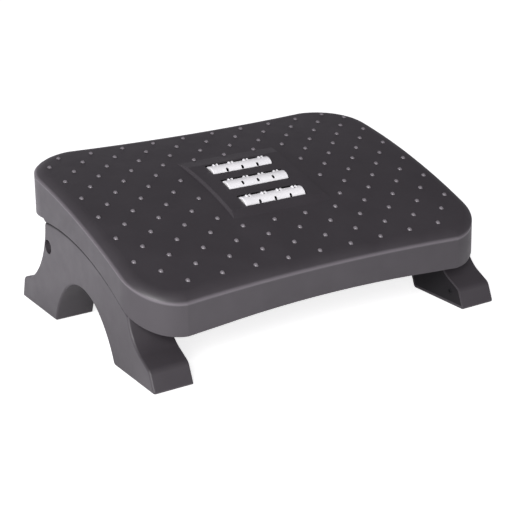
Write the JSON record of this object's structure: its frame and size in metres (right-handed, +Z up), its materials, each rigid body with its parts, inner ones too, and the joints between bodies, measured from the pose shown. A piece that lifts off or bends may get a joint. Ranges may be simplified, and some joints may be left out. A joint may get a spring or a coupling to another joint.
{
  "type": "under-desk footrest",
  "caption": "Tilting under-desk footrest: an arched, studded deck with free-turning massage rollers, hinged on a rod between arched legs.",
  "frame": {"origin": "on the floor, midway between the legs and midway between their toes", "axes": "+X to the right of the person who uses it, +Y away from that person, towards the deck's high rear edge, +Z up"},
  "size_m": [0.4534, 0.3313, 0.1756],
  "materials": {
    "deck_plastic": "black polypropylene, fine satin grain",
    "leg_plastic": "black polypropylene, fine satin grain",
    "inner_plastic": "black polypropylene, smooth, hidden",
    "roller_plastic": "near-white, smooth satin",
    "hub_plastic": "off-white, smooth",
    "bush_plastic": "natural acetal, smooth",
    "bracket_steel": "black powder coat",
    "rod_steel": "drawn, bright zinc plate",
    "screw_steel": "zinc plated",
    "pad_rubber": "matte black, soft"
  },
  "bodies": {
    "base": {"foot_pad_front_left": "pad_rubber", "foot_pad_front_right": "pad_rubber", "foot_pad_rear_left": "pad_rubber", "foot_pad_rear_right": "pad_rubber", "leg_cover_left": "inner_plastic", "leg_cover_right": "inner_plastic", "leg_cover_screws_left": "screw_steel", "leg_cover_screws_right": "screw_steel", "leg_shell_left": "leg_plastic", "leg_shell_right": "leg_plastic", "pivot_rod": "rod_steel", "rod_screw_left": "screw_steel", "rod_screw_right": "screw_steel", "rod_washer_left": "rod_steel", "rod_washer_right": "rod_steel", "stop_pads_left": "pad_rubber", "stop_pads_right": "pad_rubber", "thrust_washer_left": "bush_plastic", "thrust_washer_right": "bush_plastic"},
    "deck": {"bracket_screws_left": "screw_steel", "bracket_screws_right": "screw_steel", "cassette_screws": "screw_steel", "deck_shell": "deck_plastic", "pivot_bracket_left": "bracket_steel", "pivot_bracket_right": "bracket_steel", "pivot_bush_left": "bush_plastic", "pivot_bush_right": "bush_plastic", "roller_axle_front": "rod_steel", "roller_axle_middle": "rod_steel", "roller_axle_rear": "rod_steel", "roller_cassette": "inner_plastic"},
    "roller_front": {"roller_hub_front_left": "hub_plastic", "roller_hub_front_right": "hub_plastic", "roller_sleeve_front": "roller_plastic"},
    "roller_middle": {"roller_hub_middle_left": "hub_plastic", "roller_hub_middle_right": "hub_plastic", "roller_sleeve_middle": "roller_plastic"},
    "roller_rear": {"roller_hub_rear_left": "hub_plastic", "roller_hub_rear_right": "hub_plastic", "roller_sleeve_rear": "roller_plastic"}
  },
  "joints": [
    {"name": "deck_tilt", "type": "hinge", "parent": "base", "child": "deck", "pos_m": [0, 0.0784, 0.088], "axis": [-1, 0, 0], "range_deg": [0, 20]},
    {"name": "roller_front_spin", "type": "hinge", "parent": "deck", "child": "roller_front", "pos_m": [0, -0.03724, 0.13153], "axis": [1, 0, 0], "continuous": true},
    {"name": "roller_middle_spin", "type": "hinge", "parent": "deck", "child": "roller_middle", "pos_m": [0, -0.00294, 0.14172], "axis": [1, 0, 0], "continuous": true},
    {"name": "roller_rear_spin", "type": "hinge", "parent": "deck", "child": "roller_rear", "pos_m": [0, 0.03174, 0.15052], "axis": [1, 0, 0], "continuous": true}
  ]
}
